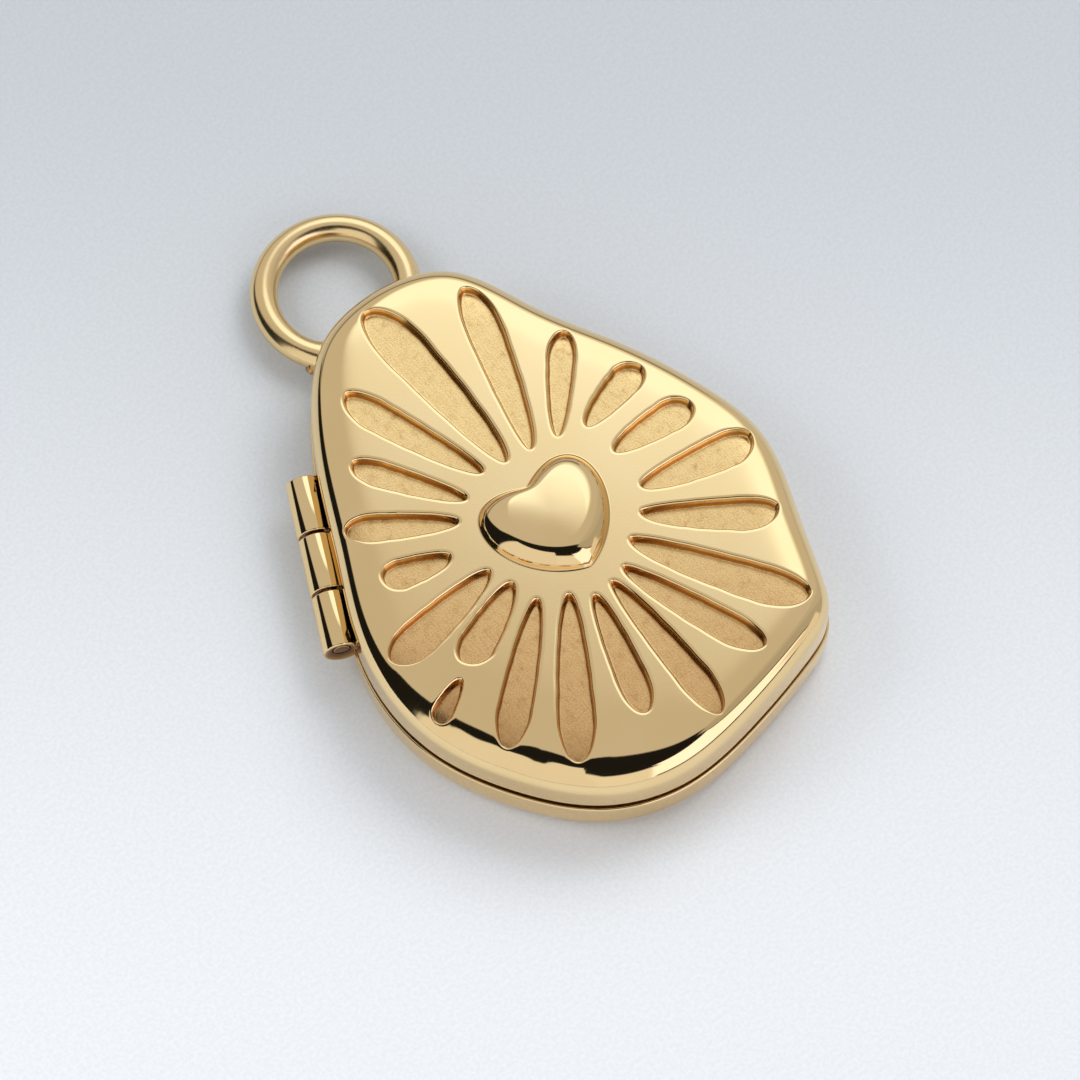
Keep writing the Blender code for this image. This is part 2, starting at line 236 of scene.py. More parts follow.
@dataclass(frozen=True)
class GoldFinish(Finish):
    """Polished gold.

    The mesh's recess attribute turns it matt up to 0.6, with painted wall shade until round 1 and a
    darker painted shade past 1.2; the matt colour also takes a painted shade on its near side.
    """

    polished: Colour = (0.900, 0.675, 0.355, 1.0)
    deeper: Colour = (0.885, 0.655, 0.330, 1.0)
    floor: Colour = (0.980, 0.710, 0.330, 1.0)
    floor_dark: Colour = (0.820, 0.530, 0.210, 1.0)
    # painted shade: the matt colour is tinted darker on the near side
    near_shade: Colour = (0.730, 0.630, 0.600, 1.0)
    # painted shade: the dark brown standing for shade and gold-on-gold reflection on the petals'
    # walls, the heart's foot, the seam and the solder
    wall: Colour = (0.430, 0.225, 0.078, 1.0)
    # painted shade: the darkest brown, for the knuckles' bores and end dishes and the pin's sunk
    # ends
    hollow_shade: Colour = (0.200, 0.095, 0.042, 1.0)
    shine: float = 0.06
    floor_rough: float = 0.26
    brushed: float = 0.0
    scratched: float = 0.004
    bump_height: float = 0.00004
    tone_scale: float = 260.0
    smear_scale: float = 900.0
    blotch_scale: float = 2600.0
    scratch_scale: float = 9000.0
    streak_scale: float = 11000.0
    grain_scale: float = 15000.0
    matt_span: Span = (0.22, 0.60)
    wall_shade_span: Span = (0.98, 1.14)
    hollow_shade_span: Span = (1.2, 1.8)
    near_shade_span: Span = (-0.011, 0.003)
    has_recess: bool = False

    def surface(self, graph: Graph, place: Number) -> dict[str, Any]:
        """What the shader's sockets take.

        Args:
            graph: the material's graph.
            place: the coordinates.

        Returns:
            A value or a link for each socket.
        """
        tone = graph.noise(place, self.tone_scale, 2.0).step(0.35, 0.65)
        colour = graph.blend(tone, self.polished, self.deeper)
        rough = self.shine * (0.75 + 0.5 * graph.noise(place, self.smear_scale, 3.0))
        scratches = graph.noise(place, self.scratch_scale, 2.0)
        height = (self.scratched + self.brushed) * scratches
        if self.has_recess:
            recess = graph.node("ShaderNodeAttribute", {"attribute_name": "recess"}, output="Fac")
            sunk = recess.step(*self.matt_span)
            grain = graph.noise(place, self.grain_scale, 3.0)
            streaks = graph.noise(graph.stretched(place), self.streak_scale, 2.0)
            blotch = graph.noise(place, self.blotch_scale, 3.0)
            worn = 0.6 * grain + 0.2 * streaks + 0.2 * blotch
            matt = graph.blend(worn.step(0.36, 0.58), self.floor_dark, self.floor)
            # painted shade: matt surfaces darken towards the near side, against FAR
            depth = graph.along(place, FAR).step(*self.near_shade_span)
            matt = graph.tinted(matt, graph.blend(depth, self.near_shade, WHITE))
            # painted shade: below a recess of about 1 the matt colour turns to the dark wall colour
            deep = (recess + 0.3 * blotch).step(*self.wall_shade_span)
            matt = graph.blend(deep, self.wall, matt)
            colour = graph.blend(sunk, colour, matt)
            # painted shade past a recess of 1.2, in bores, end dishes and sunk pin ends
            colour = graph.blend(recess.step(*self.hollow_shade_span), colour, self.hollow_shade)
            rough = rough * (1.0 - sunk) + self.floor_rough * sunk
            height = height + sunk * (0.07 * grain + 0.04 * streaks)
        normal = graph.bump(height, 1.0, self.bump_height)
        return {"Base Color": colour, "Roughness": rough, "Metallic": 1.0, "Normal": normal}


@dataclass(frozen=True)
class FloorFinish(Finish):
    """The plain pale surface that the pendant lies on, a little lighter on its near side."""

    light: Colour = (0.85, 0.88, 0.905, 1.0)
    shade: Colour = (0.500, 0.530, 0.560, 1.0)
    grain: Colour = (0.94, 0.94, 0.94, 1.0)
    reach: float = 0.030
    grain_scale: float = 6000.0
    bump_height: float = 0.00002

    def surface(self, graph: Graph, place: Number) -> dict[str, Any]:
        """What the shader's sockets take.

        Args:
            graph: the material's graph.
            place: the coordinates.

        Returns:
            A value or a link for each socket.
        """
        depth = graph.along(place, FAR).step(self.reach, -self.reach)
        grain = graph.noise(place, self.grain_scale, 3.0)
        speckle = graph.blend(grain.step(0.3, 0.7), self.grain, WHITE)
        return {
            "Base Color": graph.tinted(graph.blend(depth, self.shade, self.light), speckle),
            "Roughness": 0.7,
            "Specular IOR Level": 0.25,
            "Normal": graph.bump(grain, 0.3, self.bump_height),
        }


def closed_spline(points: np.ndarray, places: np.ndarray | int) -> tuple[np.ndarray, np.ndarray]:
    """Sample a smooth closed curve through clockwise points.

    Args:
        points: the control points.
        places: how many even samples, or the shares of the length at which to sample.

    Returns:
        The samples and their outward normals.
    """
    total = len(points)
    step = np.roll(points, -1, axis=0) - points
    span = np.linalg.norm(step, axis=1)
    slope = step / span[:, None]
    system = np.zeros((total, total))
    for i in range(total):
        system[i, i - 1] = span[i - 1]
        system[i, i] = 2 * (span[i - 1] + span[i])
        system[i, (i + 1) % total] = span[i]
    bend = np.linalg.solve(system, 6 * (slope - np.roll(slope, 1, axis=0)))
    starts = np.concatenate(([0.0], np.cumsum(span)))
    shares = np.arange(places) / places if isinstance(places, int) else places
    place = shares * starts[-1]
    i = np.clip(np.searchsorted(starts, place, side="right") - 1, 0, total - 1)
    j = (i + 1) % total
    h = span[i][:, None]
    done = (place - starts[i])[:, None]
    left = h - done
    first = points[i] / h - bend[i] * h / 6
    second = points[j] / h - bend[j] * h / 6
    spots = (bend[i] * left**3 + bend[j] * done**3) / (6 * h) + first * left + second * done
    along = unit((bend[j] * done**2 - bend[i] * left**2) / (2 * h) - first + second)
    return spots, np.stack((-along[:, 1], along[:, 0]), axis=1)


def even_loop(loop: np.ndarray, pitch: float) -> np.ndarray:
    """Resample a closed line of points evenly.

    Args:
        loop: the points.
        pitch: the rough distance between the samples.

    Returns:
        The samples.
    """
    closed = np.vstack((loop, loop[:1]))
    runs = np.concatenate(([0.0], np.cumsum(np.linalg.norm(np.diff(closed, axis=0), axis=1))))
    count = max(8, int(round(runs[-1] / pitch)))
    marks = np.arange(count) * runs[-1] / count
    return np.stack([np.interp(marks, runs, closed[:, k]) for k in (0, 1)], axis=1)


def edge_distance(loop: np.ndarray, spots: np.ndarray) -> np.ndarray:
    """How far spots lie inside a closed line.

    Args:
        loop: the line's points.
        spots: where to measure.

    Returns:
        The distances to the line, positive inside.
    """
    start = loop
    run = np.roll(loop, -1, axis=0) - loop
    size = (run**2).sum(1)
    distance = np.empty(len(spots))
    for low in range(0, len(spots), 2000):
        spot = spots[low : low + 2000]
        offset = spot[:, None, :] - start[None]
        share = np.clip((offset * run).sum(2) / size, 0, 1)
        away = offset - share[..., None] * run
        reach = np.sqrt((away**2).sum(2).min(1))
        above = start[:, 1][None] > spot[:, 1:2]
        crosses = above != np.roll(above, -1, axis=1)
        with np.errstate(divide="ignore", invalid="ignore"):
            meets = start[:, 0] + (spot[:, 1:2] - start[:, 1]) / run[:, 1] * run[:, 0]
        inside = (crosses & (spot[:, 0:1] < meets)).sum(1) % 2 == 1
        distance[low : low + 2000] = np.where(inside, reach, -reach)
    return distance


def unit(vectors: np.ndarray) -> np.ndarray:
    """Vectors made one long."""
    return vectors / np.linalg.norm(vectors, axis=-1, keepdims=True)


def loop_normals(loop: np.ndarray) -> np.ndarray:
    """The unit normals of a closed line, to the left of its run."""
    run = np.roll(loop, -1, axis=0) - np.roll(loop, 1, axis=0)
    return unit(np.column_stack((-run[:, 1], run[:, 0])))


def new_object(name: str, data: bpy.types.ID) -> bpy.types.Object:
    """Put new data into the scene.

    Args:
        name: the object's name.
        data: its mesh, lamp or camera.

    Returns:
        The object.
    """
    item = bpy.data.objects.new(name, data)
    bpy.context.scene.collection.objects.link(item)
    return item


def circle(angles: np.ndarray) -> np.ndarray:
    """Points of the unit circle at angles in radians."""
    return np.column_stack((np.cos(angles), np.sin(angles)))


def smooth_step(share: np.ndarray) -> np.ndarray:
    """Ease from 0 to 1 as the share goes from 0 to 1."""
    share = np.clip(share, 0, 1)
    return share**2 * (3 - 2 * share)


@dataclass
class MeshMaker:
    """Gathers the corners, faces and smooth normals of one mesh."""

    corners: list[np.ndarray] = field(default_factory=list)
    normals: list[np.ndarray] = field(default_factory=list)
    recess: list[np.ndarray] = field(default_factory=list)
    faces: list[Sequence[int]] = field(default_factory=list)
    count: int = 0
    sharp: float = 32.0

    def add(
        self,
        corners: np.ndarray,
        normals: np.ndarray | None = None,
        recess: np.ndarray | None = None,
    ) -> np.ndarray:
        """Add corners.

        Args:
            corners: their places.
            normals: their smooth normals; where none is given the faces decide.
            recess: how far each lies in a sunk floor, from 0 to 1.

        Returns:
            Their numbers.
        """
        size = len(corners)
        self.corners.append(np.asarray(corners, float))
        self.normals.append(np.zeros((size, 3)) if normals is None else normals)
        self.recess.append(np.zeros(size) if recess is None else recess)
        numbers = np.arange(self.count, self.count + size)
        self.count += size
        return numbers

    def corners_of(self, numbers: np.ndarray) -> np.ndarray:
        """The places of corners that were added before."""
        return np.vstack(self.corners)[numbers]

    def block(self, ring: np.ndarray) -> int:
        """Which addition a ring's corners came in."""
        starts = np.cumsum([0] + [len(block) for block in self.recess])
        return int(np.searchsorted(starts, ring[0], side="right")) - 1

    def mark(self, ring: np.ndarray, recess: float) -> None:
        """Set how matt corners are that were added together, and how much painted shade they take.
        """
        self.recess[self.block(ring)] = np.full(len(ring), recess)

    def smooth(self, ring: np.ndarray, angle: float, outward: np.ndarray) -> None:
        """Give a ring on a fillet its true normals.

        Args:
            ring: the numbers of its corners, which were added together.
            angle: the angle of the normals above the horizon, in degrees.
            outward: the wall's outward normals.
        """
        turn = math.radians(angle)
        rise = np.full(len(ring), math.sin(turn))
        self.normals[self.block(ring)] = np.column_stack((outward * math.cos(turn), rise))

    def strip(self, first: np.ndarray, second: np.ndarray) -> None:
        """Join two rings of equal length with four-sided faces."""
        a, b = first, second
        for i, j in zip(range(len(a)), np.roll(np.arange(len(a)), -1)):
            self.faces.append((int(a[i]), int(a[j]), int(b[j]), int(b[i])))

    def loft(self, rings: Iterable[np.ndarray], closed: bool = False) -> list[np.ndarray]:
        """Join rings one after another.

        Args:
            rings: the corners of each ring.
            closed: whether the last ring joins the first.

        Returns:
            The numbers of each ring's corners.
        """
        numbers = [self.add(ring) for ring in rings]
        for first, second in zip(numbers, numbers[1:]):
            self.strip(first, second)
        if closed:
            self.strip(numbers[-1], numbers[0])
        return numbers

    def solid(self, rings: Iterable[np.ndarray]) -> list[np.ndarray]:
        """Join rings one after another and close both ends.

        Args:
            rings: the corners of each ring.

        Returns:
            The numbers of each ring's corners.
        """
        numbers = self.loft(rings)
        self.cap(numbers[0], turned=True)
        self.cap(numbers[-1])
        return numbers

    def cap(self, ring: np.ndarray, turned: bool = False) -> None:
        """Close a ring with one face."""
        order = ring[::-1] if turned else ring
        self.faces.append(tuple(int(n) for n in order))

    def build(
        self,
        name: str,
        material: bpy.types.Material,
        body: Body,
        slot: Slot,
        replaces: Sequence[str] = (),
    ) -> None:
        """Make the object and put it on its body.

        Args:
            name: the piece's name.
            material: its finish.
            body: the body that it rides on.
            slot: the record's slot for its finish; not used.
            replaces: the frame's nodes that it stands for.
        """
        corners = np.vstack(self.corners)
        corners[:, :2] += HEART_PLACE
        mesh = bpy.data.meshes.new(name)
        mesh.from_pydata((corners * MM).tolist(), [], self.faces)
        mesh.validate()
        mesh.shade_smooth()
        mesh.set_sharp_from_angle(angle=math.radians(self.sharp))
        smooth = np.vstack(self.normals)
        if np.any(smooth):
            size = len(mesh.loops)
            shading = np.empty(size * 3, np.float32)
            mesh.corner_normals.foreach_get("vector", shading)
            shading = shading.reshape(-1, 3)
            index = np.empty(size, np.int32)
            mesh.loops.foreach_get("vertex_index", index)
            given = smooth[index]
            known = np.abs(given).sum(1) > 0.5
            shading[known] = given[known]
            mesh.normals_split_custom_set(shading.tolist())
        recess = np.concatenate(self.recess)
        if np.any(recess):
            layer = mesh.attributes.new("recess", "FLOAT", "POINT")
            layer.data.foreach_set("value", recess.astype(np.float32))
        mesh.materials.append(material)
        item = new_object(name, mesh)
        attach(item, body.value)
        if replaces:
            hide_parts(*replaces)
        LOG.info("%s: %d faces on %s", name, len(mesh.polygons), body.value)


@dataclass
class Outline:
    """The pebble outline of the locket, with its samples and outward normals."""

    width: float = 20.1
    length: float = 25.5
    samples: int = 400
    fine: int = 1440
    shy: float = 0.008
    nick: float = 0.00012
    # across as a share of the width, along as a share of the length, clockwise from the ring
    table: tuple[Span, ...] = (
        (0.000, 0.529),
        (0.188, 0.482),
        (0.285, 0.339),
        (0.373, 0.210),
        (0.462, 0.044),
        (0.488, -0.060),
        (0.475, -0.130),
        (0.427, -0.240),
        (0.390, -0.326),
        (0.349, -0.388),
        (0.259, -0.424),
        (0.075, -0.462),
        (-0.100, -0.475),
        (-0.269, -0.429),
        (-0.404, -0.317),
        (-0.485, -0.190),
        (-0.504, -0.086),
        (-0.483, 0.025),
        (-0.400, 0.178),
        (-0.318, 0.318),
        (-0.241, 0.418),
        (-0.138, 0.501),
    )

    def __post_init__(self) -> None:
        """Work out the fine line and the even samples."""
        self.control = np.array(self.table) * (self.width, self.length)
        self.line, self.line_normals = closed_spline(self.control, self.fine)
        self.points, self.normals = closed_spline(self.control, self.samples)

    def refine(self, hinge: Hinge) -> None:
        """Add samples beside the ends of the hinge's reliefs, so that those stay crisp.

        Args:
            hinge: the hinge whose reliefs are cut into the walls.
        """
        shares = list(np.arange(self.samples) / self.samples)
        along = (self.line - hinge.middle) @ hinge.direction
        near = (self.line - hinge.middle) @ hinge.outward > -hinge.beside
        for mark in hinge.relief_ends():
            side = along - mark
            for i in np.nonzero((side[:-1] * side[1:] <= 0) & near[:-1])[0]:
                share = (i + side[i] / (side[i] - side[i + 1])) / len(self.line)
                shares += [share - self.nick, share + self.nick]
        self.points, self.normals = closed_spline(self.control, np.array(sorted(shares)))

    def reach(self, bearing: float) -> float:
        """The outline's distance from the heart's centre.

        Args:
            bearing: the direction, in degrees clockwise from the ring.

        Returns:
            The distance.
        """
        sight = bearing_vector(bearing)
        side = self.line @ np.array((-sight[1], sight[0]))
        ahead = self.line @ sight
        crossing = (side * np.roll(side, -1) <= 0) & (ahead > 0)
        return float(ahead[crossing].max())

    def ring(self, inset: float | np.ndarray, height: float | np.ndarray) -> np.ndarray:
        """The outline moved inwards, at a height.

        Args:
            inset: how far, one value or one for each sample.
            height: the height, likewise.

        Returns:
            The ring's corners.
        """
        moved = self.points - self.normals * (np.reshape(inset, (-1, 1)) + self.shy)
        return np.column_stack((moved, np.full(len(moved), height)))


def bearing_vector(bearing: float) -> np.ndarray:
    """The unit vector of a bearing in degrees clockwise from the ring."""
    return np.array((math.sin(math.radians(bearing)), math.cos(math.radians(bearing))))


@dataclass
class Hinge:
    """Three knuckles on a straight pin beside the left wall."""

    outline: Outline
    bearing: float = 301.3
    standoff: float = 0.45
    height: float = 1.90
    radius: float = 0.80
    length: float = 2.56
    gap: float = 0.14
    relief: float = 0.12
    relief_side: float = 0.10
    bore: float = 0.40
    pin: float = 0.35
    rounding: float = 0.07
    dish: float = 0.12
    dish_rim: float = 0.13
    pin_sunk: float = 0.10
    web_angle: float = 45.0
    # matt marks with painted shade: bores and pin ends dark, the end dishes half so
    hole_matt_and_shade: float = 1.8
    dish_matt_and_shade: float = 1.5
    pin_end_matt_and_shade: float = 1.7
    beside: float = 2.0
    sides: int = 72
    pin_sides: int = 48

    def __post_init__(self) -> None:
        """Place the axis beside the wall."""
        sight = bearing_vector(self.bearing)
        side = self.outline.line @ np.array((-sight[1], sight[0]))
        ahead = self.outline.line @ sight
        i = int(np.argmin(np.abs(side) + 100 * (ahead < 0)))
        self.outward = self.outline.line_normals[i]
        self.middle = self.outline.line[i] + self.outward * self.standoff
        self.direction = np.array((-self.outward[1], self.outward[0]))

    def spans(self) -> list[Span]:
        """Start and end of the three knuckles along the axis."""
        pitch = self.length + self.gap
        return [(k * pitch - self.length / 2, k * pitch + self.length / 2) for k in (-1, 0, 1)]

    def relief_ends(self) -> list[float]:
        """Where the reliefs in the walls start and end along the axis."""
        return [mark for low, high in self.spans() for mark in self.widened((low, high))]

    def widened(self, span: Span) -> Span:
        """A knuckle's span with its side clearance."""
        return span[0] - self.relief_side, span[1] + self.relief_side

    def cut(self, height: float, inset: float, spans: Sequence[Span]) -> np.ndarray:
        """How far a wall's ring lies inwards where the reliefs cut it.

        Args:
            height: the ring's height.
            inset: its inset away from the reliefs.
            spans: the knuckles for which the wall is relieved.

        Returns:
            The inset of each of the outline's samples.
        """
        insets = np.full(len(self.outline.points), inset)
        rise = height - self.height
        bite = self.radius + self.relief
        if abs(rise) >= bite:
            return insets
        offset = self.outline.points - self.middle
        along = offset @ self.direction
        out = offset @ self.outward
        lean = np.maximum(self.outline.normals @ self.outward, 0.2)
        need = (out + math.sqrt(bite**2 - rise**2)) / lean
        for span in spans:
            low, high = self.widened(span)
            within = (along > low) & (along < high) & (out > -self.beside)
            insets = np.where(within, np.maximum(insets, need), insets)
        return insets

    def relieved(self, inset: float) -> float:
        """How far above and below the axis the reliefs cut a wall."""
        return math.sqrt((self.radius + self.relief) ** 2 - (self.standoff + inset) ** 2)

    def wall(
        self, heights: Sequence[float], inset: float, spans: Sequence[Span], soft: float
    ) -> list[np.ndarray]:
        """A shell's side wall, relieved for knuckles, with the rounded edge that it ends in.

        Args:
            heights: the heights of its rings, the last where the rounding starts.
            inset: how far it lies inside the outline.
            spans: the knuckles for which it is relieved.
            soft: the rounding's radius.

        Returns:
            The rings.
        """
        rings = [self.outline.ring(self.cut(height, inset, spans), height) for height in heights]
        rise = math.copysign(soft, heights[-1] - heights[0])
        for turn in np.radians((30, 60, 90)):
            height = heights[-1] + rise * math.sin(turn)
            trim = soft * (1 - math.cos(turn))
            rings.append(self.outline.ring(self.cut(height, inset, spans) + trim, height))
        return rings

    def section(self, rising: int) -> tuple[np.ndarray, np.ndarray]:
        """A knuckle's section with the web that runs it into its wall.

        Args:
            rising: 1 for a web above the axis, -1 for one below.

        Returns:
            The section's points, out of the wall and up, and their outward normals.
        """
        steps = self.sides * 7 // 8
        web = 180 - self.web_angle
        around = circle(np.radians(web - (web + 180) * np.arange(steps + 1) / steps))
        top = self.radius * math.sin(math.radians(web))
        points = np.vstack((self.radius * around, ((-self.radius, top / 2), (-self.radius, top))))
        normals = np.vstack((around, ((-1.0, 0.0), (-0.7, 0.7))))
        return points * (1, rising), normals * (1, rising)

    def place(self, section: np.ndarray, along: float) -> np.ndarray:
        """Put a section on the axis.

        Args:
            section: points out of the wall and up.
            along: where along the axis.

        Returns:
            The corners.
        """
        flat = self.middle + self.direction * along + section[:, :1] * self.outward
        return np.column_stack((flat, section[:, 1] + self.height))

    def knuckle(self, span: Span, rising: int) -> MeshMaker:
        """Model one knuckle.

        Args:
            span: its start and end along the axis.
            rising: 1 where its web runs up the lid, -1 down the back.

        Returns:
            The mesh in the making.
        """
        points, normals = self.section(rising)
        across = np.linalg.norm(points, axis=1)[:, None]
        hole = self.bore * points / across
        dish = points * (1 - self.dish_rim / across)
        low, high = span
        ends = []
        for end, inward in ((low, 1), (high, -1)):
            bottom = end + self.dish * inward
            rings = [self.place(hole, bottom), self.place(hole * 1.08, bottom)]
            rings.append(self.place(dish, end + 0.01 * inward))
            for angle in math.radians(90) * np.arange(5) / 4:
                shrink = self.rounding * (1 - math.sin(angle))
                deep = self.rounding * (1 - math.cos(angle)) * inward
                rings.append(self.place(points - normals * shrink, end + deep))
            ends.append(rings)
        maker = MeshMaker()
        numbers = maker.loft(ends[0] + ends[1][::-1], closed=True)
        for ring in (*numbers[:2], *numbers[-2:]):
            # painted shade in the bores
            maker.mark(ring, self.hole_matt_and_shade)
        for ring in (numbers[2], numbers[-3]):
            # painted shade on the end dishes
            maker.mark(ring, self.dish_matt_and_shade)
        return maker

    def pin_mesh(self) -> MeshMaker:
        """Model the straight pin with softly rounded ends."""
        half = self.spans()[2][1] - self.pin_sunk
        round_section = circle(math.tau * np.arange(self.pin_sides) / self.pin_sides)
        rings = []
        for along, radius in (
            (-half, self.pin - 0.05),
            (-half + 0.015, self.pin - 0.015),
            (-half + 0.05, self.pin),
            (half - 0.05, self.pin),
            (half - 0.015, self.pin - 0.015),
            (half, self.pin - 0.05),
        ):
            rings.append(self.place(round_section * radius, along))
        maker = MeshMaker()
        numbers = maker.solid(rings)
        for ring in (numbers[0], numbers[-1]):
            # painted shade on the pin's sunk ends
            maker.mark(ring, self.pin_end_matt_and_shade)
        return maker


@dataclass(frozen=True)
class Petal:
    """One sunk petal: a row of the sunburst's table."""

    tip_bearing: float
    tip: float
    head_bearing: float
    head: float
    width: float
    bow: float
    wobble: float
    shoulder: float = 0.75

    def edge(self, outline: Outline, full_width: float, pitch: float) -> np.ndarray:
        """The petal's edge.

        Args:
            outline: the outline that its reaches are shares of.
            full_width: the width that its own is a share of.
            pitch: the distance between the points.

        Returns:
            The closed line of its edge.
        """
        start = bearing_vector(self.tip_bearing) * self.tip * outline.reach(self.tip_bearing)
        end = bearing_vector(self.head_bearing) * self.head * outline.reach(self.head_bearing)
        run = end - start
        across = np.array((run[1], -run[0])) / np.linalg.norm(run)
        share = (1 - np.cos(np.pi * np.arange(81) / 80)) / 2
        grown = np.minimum(share / self.shoulder, 1)
        past = np.maximum(share - self.shoulder, 0) / (1 - self.shoulder)
        body = np.sqrt(grown) * (1.25 - 0.25 * grown)
        local = np.where(share < self.shoulder, body, np.sqrt(np.maximum(1 - past**2, 0)))
        wave = np.sin(share * 23 + self.head_bearing) + np.sin(share * 41 + self.bow * 50)
        local = local * (1 + self.wobble * wave)
        middle = start + run * share[:, None]
        wide = across * (full_width * self.width * local)[:, None]
        right = middle + wide * (0.5 + self.bow)
        left = middle + wide * (self.bow - 0.5)
        return even_loop(np.vstack((right, left[-2:0:-1])), pitch)


@dataclass
class Sunburst:
    """The twenty sunk petals round the heart."""

    outline: Outline
    full_width: float = 1.60
    depth: float = 0.45
    wall_angle: float = 76.0
    rim: float = 0.11
    foot: float = 0.05
    pitch: float = 0.075
    wobble: float = 0.008
    rim_offsets: Span = (-0.26, -0.18)
    floor_offsets: Span = (0.06, 0.14)
    # tip_bearing, tip, head_bearing, head, width, bow
    table: tuple[tuple[float, ...], ...] = (
        (1.2, 0.250, -2.4, 0.930, 1.18, 0.085),
        (21.1, 0.280, 17.8, 0.897, 0.94, 0.100),
        (40.0, 0.400, 40.1, 0.900, 0.73, -0.050),
        (54.8, 0.500, 64.4, 0.885, 0.84, -0.080),
        (75.4, 0.450, 84.4, 0.842, 0.88, -0.050),
        (103.0, 0.402, 101.2, 0.925, 0.98, 0.120),
        (120.6, 0.357, 123.0, 0.905, 0.90, 0.200),
        (141.2, 0.280, 144.0, 0.925, 1.05, 0.150),
        (162.5, 0.305, 159.5, 0.877, 0.84, 0.110),
        (175.7, 0.310, 178.6, 0.925, 0.82, -0.080),
        (190.1, 0.310, 193.3, 0.769, 0.80, -0.035),
        (205.9, 0.280, 211.4, 0.905, 0.98, 0.000),
        (227.3, 0.320, 227.5, 0.911, 0.90, 0.000),
        (244.8, 0.753, 244.9, 0.938, 0.54, 0.000),
        (248.1, 0.310, 247.4, 0.688, 0.95, -0.100),
        (266.0, 0.350, 263.6, 0.910, 1.02, -0.060),
        (286.1, 0.490, 286.7, 0.812, 0.80, -0.080),
        (306.6, 0.420, 304.4, 0.931, 0.75, -0.030),
        (323.0, 0.360, 324.4, 0.836, 0.70, -0.100),
        (344.8, 0.290, 340.8, 0.850, 0.86, -0.120),
    )

    def __post_init__(self) -> None:
        """Work out the petals' edges."""
        self.edges = [
            Petal(*row, self.wobble).edge(self.outline, self.full_width, self.pitch)
            for row in self.table
        ]

    def gaps(self, spots: np.ndarray, reach: float) -> np.ndarray:
        """How far each spot lies inside the nearest petal, negative outside.

        Args:
            spots: where to measure.
            reach: how far outside the petals it is measured; further off it is -reach.

        Returns:
            The distances.
        """
        gap = np.full(len(spots), -reach)
        for edge in self.edges:
            near = (spots > edge.min(0) - reach) & (spots < edge.max(0) + reach)
            rows = np.nonzero(near.all(1))[0]
            if len(rows):
                distance = edge_distance(edge, spots[rows])
                gap[rows] = np.maximum(gap[rows], distance)
        return gap

    def profile(self) -> tuple[np.ndarray, np.ndarray]:
        """The wall from the rounded rim to the floor.

        Returns:
            Distances inside the edge, and the depth at each.
        """
        steep = math.radians(self.wall_angle)
        turn = np.linspace(0, steep, 6)
        rim = np.column_stack((np.sin(turn), 1 - np.cos(turn))) * self.rim
        foot = np.column_stack((math.sin(steep) - np.sin(turn), np.cos(turn) - math.cos(steep)))
        foot = foot[::-1] * self.foot
        left = self.depth - rim[-1, 1] - foot[-1, 1]
        wall = left / math.tan(steep)
        foot = foot + rim[-1] + (wall, left)
        run = np.vstack((rim, foot))
        return run[:, 0] - self.rim, run[:, 1]

    def spots(self) -> np.ndarray:
        """The points that the plate's mesh needs on the petals' walls.

        Returns:
            The points, in rings along each edge.
        """
        offsets, _ = self.profile()
        offsets = (*self.rim_offsets, *offsets, *(offsets[-1] + self.floor_offsets))
        kept = []
        for edge in self.edges:
            normal = loop_normals(edge)
            probe = edge_distance(edge, edge + normal * 0.01)
            inward = normal if np.median(probe) > 0 else -normal
            for offset in offsets:
                ring = edge + inward * offset
                distance = edge_distance(edge, ring)
                kept.append(ring[np.abs(distance - offset) < 0.006])
        return np.vstack(kept)


